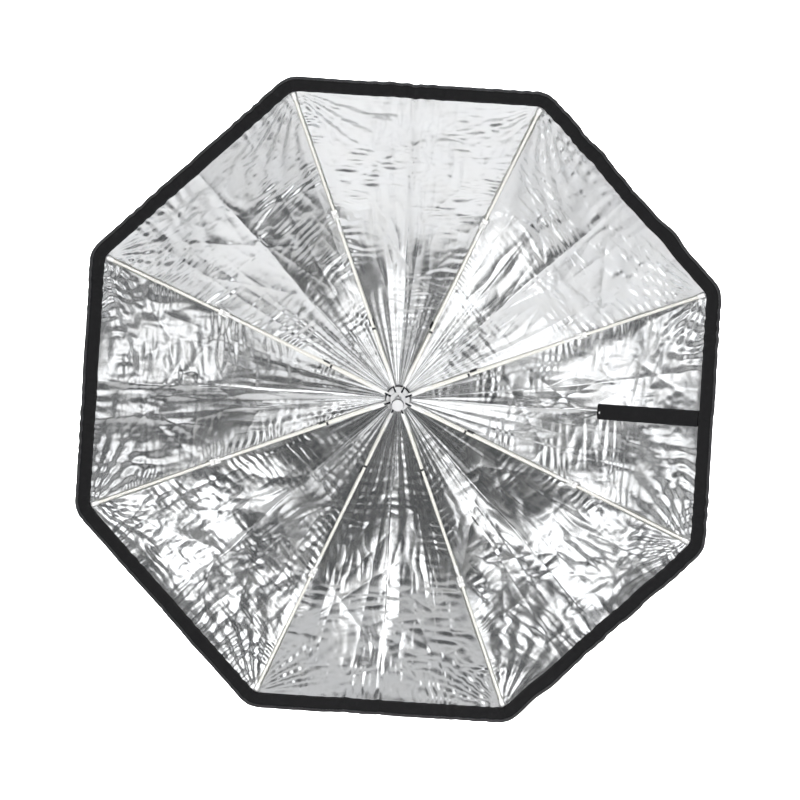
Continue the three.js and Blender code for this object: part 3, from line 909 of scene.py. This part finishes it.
def stretcher_rod(rib):
    """A stretcher from its clip to the runner: rod, sockets, eyes and a short lashing."""
    azimuth = azimuth_of(rib)
    joint = JOINTS[f"stretcher_pivot_{rib}"]["pos_m"]
    outer = np.array([math.hypot(joint[0], joint[2]), HUB_Y - joint[1]])
    inner = np.array([PIVOT_RADIUS, RUNNER_AT])
    length = np.linalg.norm(inner - outer)
    way = (inner - outer) / length

    def spots(from_clip):
        return in_plane(*(outer[:, None] + way[:, None] * from_clip))

    shape = Shape()
    eye_plate(shape, outer, inner, 0.013, azimuth, 0.00115, 1)
    # The inner eye sits in a slot of the runner; its dark colour is painted shade of that slot.
    eye_plate(shape, inner, outer, 0.0075, azimuth, 0.0008, 2)
    at = np.array([0.0095, 0.011, 0.013, *np.linspace(0.016, length - 0.02, 40)])
    radius = np.full(len(at), ROD_RADIUS)
    radius[:2] = 0.0011
    sweep_tube(shape, spots(at), radius, azimuth)
    for near, far in ((0.0115, 0.022), (length - 0.024, length - 0.0058)):
        socket = spots(np.linspace(near, far, len(SOCKET_RADII)))
        sweep_tube(shape, socket, SOCKET_RADII, azimuth, 1)
    turn = np.linspace(0, 2 * np.pi, 17)
    reach = ROD_RADIUS + 0.0002
    for k in range(4):
        r, s = outer + way * (length * LASHING_AT + LASHING_PITCH * k)
        up = reach * np.cos(turn)
        path = np.stack([r - way[1] * up, reach * np.sin(turn), s + way[0] * up], -1)
        sweep_tube(shape, path, LASHING_THREAD, azimuth, 3, 6, capped=False)
    piece = shape.make(f"stretcher_rod_{rib}", [IVORY, WHITE, BLUED_AND_SLOT_SHADE, THREAD])
    dress(piece, f"stretcher_arm_{rib}", f"stretcher_{rib}")


TIE_FROM, TIE_TO, TIE_TURNS, TIE_THREAD = 0.0855, 0.0935, 9, 0.0004


def rib_tie(rib):
    """Black thread that ties the lining to the rib, a quarter of the way out."""
    shape = Shape()
    turn = np.linspace(0, 2 * np.pi, 25)
    reach = ROD_RADIUS + TIE_THREAD
    for centre in np.linspace(TIE_FROM, TIE_TO, TIE_TURNS):
        r, s = (float(v) for v in rib_point(centre))
        angle = float(rib_angle(centre))
        z = reach * np.sin(turn) * np.where(np.sin(turn) < 0, 1.7, 1.0)
        slant = 0.0008 * np.sin(turn)
        path = [r + slant - z * math.sin(angle), reach * np.cos(turn), s + z * math.cos(angle)]
        sweep_tube(shape, np.stack(path, -1), TIE_THREAD, azimuth_of(rib), 0, 8, capped=False)
    dress(shape.make(f"rib_tie_{rib}", [THREAD], sharp=80), f"rib_arm_{rib}")


for rib_number in range(1, RIBS + 1):
    rib_rod(rib_number)
    rib_cap(rib_number)
    rib_saddle(rib_number)
    stretcher_rod(rib_number)
    rib_tie(rib_number)


# ---- pieces on the shaft
BORE_RADIUS = 0.00435
AXIS_RADIUS = 0.00001
SHAFT_FRONT, SHAFT_REAR = 0.545, -0.02
SLOT_FLOOR, CROWN_RADIUS, SLOT_WIDTH = 0.0083, 0.014, 0.0027
CROWN_EDGE, WIRE_GROOVE, WIRE_RADIUS = 0.0012, 0.00095, 0.0006
CHEEK_ROOT, GROOVE_FLOOR, CROWN_HALF = SLOT_FLOOR - 0.0006, 0.01, 0.0045
# The slots between the cheeks have their full width at this radius.
SLOT_AT = 0.0115
SLEEVE_LENGTH = 0.03


def turned(name, profile, at, material, node, body="shaft", segments=72):
    """A turned piece from a profile of (radius, s), moved forwards to s = at."""
    moved = [(r, at + s) for r, s in profile]
    dress(lathe(Shape(), moved, segments).make(name, [material]), body, node)


def groove(at, radius, depth, width):
    """A shallow groove with sloping sides, from s = at."""
    low = radius - depth
    return [(radius, at), (low, at + 0.0004), (low, at + width - 0.0004), (radius, at + width)]


def shaft_pieces():
    cap = [(BORE_RADIUS, -0.015), (0.0056, -0.015), *arc(0.0054, -0.0143, 0.0006, 0, 60, 3)]
    for k in range(4):
        cap += groove(-0.0125 + k * 0.0025, 0.006, 0.0003, 0.0012)
    cap += [*arc(0.005, 0.002, 0.001, 0, 90), (AXIS_RADIUS, 0.003), (AXIS_RADIUS, 0.0003)]
    cap += [(BORE_RADIUS, 0.0003)]
    turned("shaft_cap", cap, SHAFT_FRONT, GREY, "shaft_end_cap")

    ferrule = [(BORE_RADIUS, -0.0004), (AXIS_RADIUS, -0.0004), (AXIS_RADIUS, -0.006)]
    ferrule += arc(0.0018, -0.0022, 0.0038, -90, 0, 8)
    ferrule += [(0.0062, -0.001), (0.0072, 0.002), (0.0083, 0.0062), (0.009, 0.008)]
    ferrule += [*arc(0.0094, 0.0104, 0.0006, 0, 60, 3), (0.0096, 0.0112), (BORE_RADIUS, 0.0112)]
    turned("ferrule", ferrule, SHAFT_REAR, BLACK, "rear_ferrule")

    collar = [(BORE_RADIUS, 0.0), (0.0062, 0.0), *arc(0.0062, 0.0006, 0.0006, -90, 0, 4)]
    collar += [(0.0068, 0.0018), (0.0063, 0.0022), (0.0063, 0.0028), (0.0068, 0.0032)]
    collar += [*arc(0.0062, 0.0044, 0.0006, 0, 90, 4), (BORE_RADIUS, 0.005)]
    stop_at = HUB_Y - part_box("runner_stop")[1][1]
    turned("stop_collar", collar, stop_at, STEEL, "runner_stop")

    patch = [(BORE_RADIUS, -0.0084), (0.012, -0.008), (0.02, -0.0072), (0.0335, -0.0044)]
    patch += [(0.034, -0.0038), (0.0335, -0.0033), (0.02, -0.0061), (0.012, -0.0068)]
    patch += [(BORE_RADIUS, -0.0072)]
    turned("back_patch", patch, 0.0, NYLON, "rear_patch")


def crown(shape, at, back, front):
    """Eight cheeks round the crown, with a groove across them for the wire ring."""
    gap = math.asin(SLOT_WIDTH / 2 / SLOT_AT)
    edge = CROWN_RADIUS - CROWN_EDGE
    profile = [
        (CHEEK_ROOT, at - back),
        (edge, at - back),
        *arc(edge, at - back + CROWN_EDGE, CROWN_EDGE, -90, 0, 4),
        (CROWN_RADIUS, at - WIRE_GROOVE),
        (GROOVE_FLOOR, at - WIRE_GROOVE),
        (GROOVE_FLOOR, at + WIRE_GROOVE),
        (CROWN_RADIUS, at + WIRE_GROOVE),
        *arc(edge, at + front - CROWN_EDGE, CROWN_EDGE, 0, 90, 4),
        (CHEEK_ROOT, at + front),
    ]
    for k in range(RIBS):
        lathe(shape, profile, 10, start=HALF + k * STEP + gap, sweep=STEP - 2 * gap)


def hub_and_runner():
    hub = Shape()
    back = 0.0055
    crown(hub, 0.0, back, CROWN_HALF)
    core = [(BORE_RADIUS, -back), (SLOT_FLOOR, -back), (SLOT_FLOOR, CROWN_HALF), (BORE_RADIUS, CROWN_HALF)]
    lathe(hub, core)
    dress(hub.make("hub", [GREY]), "shaft", "notch_hub")

    runner = Shape()
    crown(runner, RUNNER_AT, CROWN_HALF, CROWN_HALF)
    sleeve = [(BORE_RADIUS, -CROWN_HALF), (SLOT_FLOOR, -CROWN_HALF), (SLOT_FLOOR, CROWN_HALF)]
    sleeve += [(0.008, 0.0052)]
    for k in range(6):
        sleeve += groove(0.008 + k * 0.0027, 0.008, 0.0004, 0.0014)
    sleeve += [(0.0082, SLEEVE_LENGTH - 0.0052)]
    sleeve += arc(0.0088, SLEEVE_LENGTH - 0.0036, 0.0006, -90, 0, 4)
    sleeve += arc(0.0084, SLEEVE_LENGTH - 0.001, 0.001, 0, 90, 5)
    sleeve += [(BORE_RADIUS + 0.0006, SLEEVE_LENGTH), (BORE_RADIUS, SLEEVE_LENGTH - 0.0006)]
    lathe(runner, [(r, RUNNER_AT + s) for r, s in sleeve])
    dress(runner.make("runner_body", [GREY]), "runner_slider", "runner")


def wire_rings():
    ring = arc(PIVOT_RADIUS, 0, WIRE_RADIUS, 0, 330, 11)
    turned("hub_ring", ring, 0.0, STEEL, "hub_wire", "shaft", 96)
    turned("runner_ring", ring, RUNNER_AT, STEEL, "runner_wire", "runner_slider", 96)


def paint_cad_nodes():
    """The slotted tube and the catch keep their CAD shapes."""
    for node, material in (("shaft_tube", STEEL), ("catch_spring", BLUED_AND_SLOT_SHADE)):
        piece = frame["nodes"][node]
        piece.data.materials.clear()
        piece.data.materials.append(material)


shaft_pieces()
hub_and_runner()
wire_rings()
paint_cad_nodes()


# ---- the slit and its flap
def crease_line(along, offset):
    """(r, s) on the crease of the panel between the last rib and the first."""
    spot = canopy_point(RIBS, 1, np.atleast_1d(along), np.ones(1), offset, wrinkled=0.0)
    return spot[:, 0], HUB_Y - spot[:, 1]


def strip(name, z1, z2, low, high, seed):
    """A woven strip that lies along the slit, with soft edges and corners."""
    outer = TAPE_AT - 0.0006
    along = np.linspace(outer - SLIT_LENGTH, outer, 90)
    across = np.linspace(z1, z2, 15)
    r, s = crease_line(along, 0.0)
    slope = np.arctan2(np.gradient(s), np.gradient(r))
    rng = np.random.default_rng(seed)
    ripple = 0.0002 * smooth_noise(rng, along, 0, 5, 0.01, 0.04)

    def layer(lift, rounding):
        columns = []
        for z, aside in zip(across, np.abs(np.linspace(-1, 1, len(across)))):
            r, s = crease_line(np.maximum(along, along[0] + 0.005 * max(0, aside - 0.55) ** 2), 0.0)
            h = lift * (1 - rounding * aside**5) + ripple
            y = HUB_Y - (s + h * np.cos(slope))
            columns.append(np.stack([r - h * np.sin(slope), y, 0 * r + z], -1))
        return np.stack(columns, 1)

    top = layer(high, 0.12)
    return closed_sheet(Shape(), top, layer(low, 0.0), 0).make(name, [TAPE], sharp=50), top


def slit_pieces():
    """The flap with its stitching and a pale tack at its inner end, and the loop strip under it."""
    half = SLIT_WIDTH / 2
    flap, top = strip("slit_cover", -half, half, 0.002, 0.003, 77)
    thread = Shape()
    out = np.array([-math.sin(TIP_ANGLE), -math.cos(TIP_ANGLE), 0.0])
    for column in (1, -2):
        stitch_row(thread, top[:, column] + out * 0.0001, out)
    for k in range(3):
        shift = out * 0.0002 + (top[3, 5] - top[2, 5]) * k * 0.3
        stitch(thread, top[2, 5] + shift, top[2, 7] + shift, out, 0.0003, slot=1)
    stitches = thread.make("slit_cover_stitches", [THREAD, PALE_THREAD], sharp=80)
    for piece, node in ((flap, "slit_flap"), (stitches, None)):
        dress(piece, "slit_door", node)
        gather(piece)
    under, _ = strip("slit_loops", 0.0006, half, 0.0007, 0.0016, 78)
    fold_with_rib(under, 1, "slit_tape")


slit_pieces()


# ---- floor, backdrop and light
FLOOR_HEIGHT, FLOOR_FROM = -1.1, -0.8
WALL_AT, WALL_TOP, WALL_CURVE = 6.6, 9.0, 2.6
BACKDROP_REACH = 9.0


def backdrop():
    """A pale floor that curves up into a wall behind the box."""
    profile = [(FLOOR_FROM, FLOOR_HEIGHT), (WALL_AT - WALL_CURVE, FLOOR_HEIGHT)]
    for k in range(1, 13):
        a = math.pi / 2 * k / 12
        y = WALL_AT - WALL_CURVE + WALL_CURVE * math.sin(a)
        profile.append((y, FLOOR_HEIGHT + WALL_CURVE - WALL_CURVE * math.cos(a)))
    profile.append((WALL_AT, WALL_TOP))
    points = [[x, y, z] for y, z in profile for x in (-BACKDROP_REACH, BACKDROP_REACH)]
    faces = [(2 * i, 2 * i + 1, 2 * i + 3, 2 * i + 2) for i in range(len(profile) - 1)]
    material, tree, shader = new_material("studio_paper")
    paper = noise(tree, coordinates(tree), 3, 3, 0.5)
    tint = mixed_colour(tree, paper, (0.70, 0.70, 0.70), (0.74, 0.74, 0.74))
    tree.links.new(tint, shader.inputs["Base Color"])
    shader.inputs["Roughness"].default_value = 0.9
    Shape().add(points, faces).make("studio_floor", [material])


def area_light(name, place_at, aim, size, power, spread, hidden):
    """hidden says which rays pass it by: the camera's or a mirror's."""
    data = bpy.data.lights.new(name, "AREA")
    data.shape = "RECTANGLE"
    data.size, data.size_y = size
    data.energy = power
    data.spread = math.radians(spread)
    lamp = new_object(name, data)
    lamp.location = place_at
    lamp.rotation_euler = (Vector(aim) - Vector(place_at)).to_track_quat("-Z", "Y").to_euler()
    lamp.visible_camera = hidden != "camera"
    lamp.visible_glossy = hidden != "mirror"
    return lamp


# Plain lights: name, place, aim, size, power, spread and what they are hidden from.
PLAIN_LIGHTS = (
    ("wall_light", (0, 4.0, 4.2), (0, 5.9, 0.0), (6, 1.4), 900, 110, "camera"),
    ("back_light", (-1.7, 3.0, 2.0), (0, 0.4, 0), (0.9, 0.9), 70, 180, "camera"),
    ("floor_light", (0.1, 0, 2.4), (0.1, -0.1, -1.1), (0.5, 0.5), 1.2, 26, "mirror"),
    ("key_light", (0.3, -2.9, 0.5), (0, 0.3, 0), (0.5, 0.5), 100, 180, "mirror"),
)
# Round soft boxes about the open face: angle off the shaft's line, angle round it, reach and glow.
SOFT_BOXES = (
    (38, 221, 18, 1.5),
    (50, 166, 13, 1.6),
    (70, 170, 13, 1.1),
    (29, 192, 9, 0.55),
    (28, 320, 12, 1.6),
    (49, 305, 11, 0.5),
    (33, 358, 12, 1.1),
    (66, 11, 13, 1.3),
    (61, 55, 14, 2.1),
    (76, 90, 20, 0.55),
    (65, 123, 14, 1.7),
)
BOX_DISTANCE = 6.0
BOX_CENTRE = Vector((0, HUB_Y - 0.1, 0))
# A disc is a little wider than its reach, and dims from here to its edge at 0.5.
BOX_MARGIN, FADE_FROM = 1.15, 0.31
ROOM_GLOW = 0.08


def soft_box(number, off_axis, around, reach, glow):
    """A disc that is brightest in its middle. Its power follows from its glow and its area."""
    off, turn = math.radians(off_axis), math.radians(around)
    way = Vector((math.sin(off) * math.cos(turn), -math.cos(off), math.sin(off) * math.sin(turn)))
    radius = BOX_DISTANCE * math.tan(math.radians(reach * BOX_MARGIN))
    power = math.pi * glow * math.pi * radius**2
    size, at = (2 * radius, 2 * radius), BOX_CENTRE + BOX_DISTANCE * way
    lamp = area_light(f"soft_box_{number}", at, BOX_CENTRE, size, power, 180, "camera")
    lamp.data.shape = "DISK"
    lamp.data.use_nodes = True
    tree = lamp.data.node_tree
    on_disc = add_node(tree, "TexCoord").outputs["UV"]
    from_middle = add_node(tree, "VectorMath", operation="DISTANCE")
    from_middle.inputs[1].default_value = (0.5, 0.5, 0.0)
    tree.links.new(on_disc, from_middle.inputs[0])
    fade = ramp_range(tree, from_middle.outputs["Value"], 1.0, 0.0, FADE_FROM, 0.5)
    tree.links.new(fade, tree.nodes["Emission"].inputs["Strength"])


def lighting():
    world = bpy.data.worlds.new("studio")
    bpy.context.scene.world = world
    world.use_nodes = True
    shader = world.node_tree.nodes["Background"]
    shader.inputs["Color"].default_value = (0.96, 0.98, 1.0, 1)
    shader.inputs["Strength"].default_value = ROOM_GLOW
    for number, values in enumerate(SOFT_BOXES, 1):
        soft_box(number, *values)
    for values in PLAIN_LIGHTS:
        area_light(*values)
    bpy.context.scene.view_settings.view_transform = "Standard"


backdrop()
lighting()
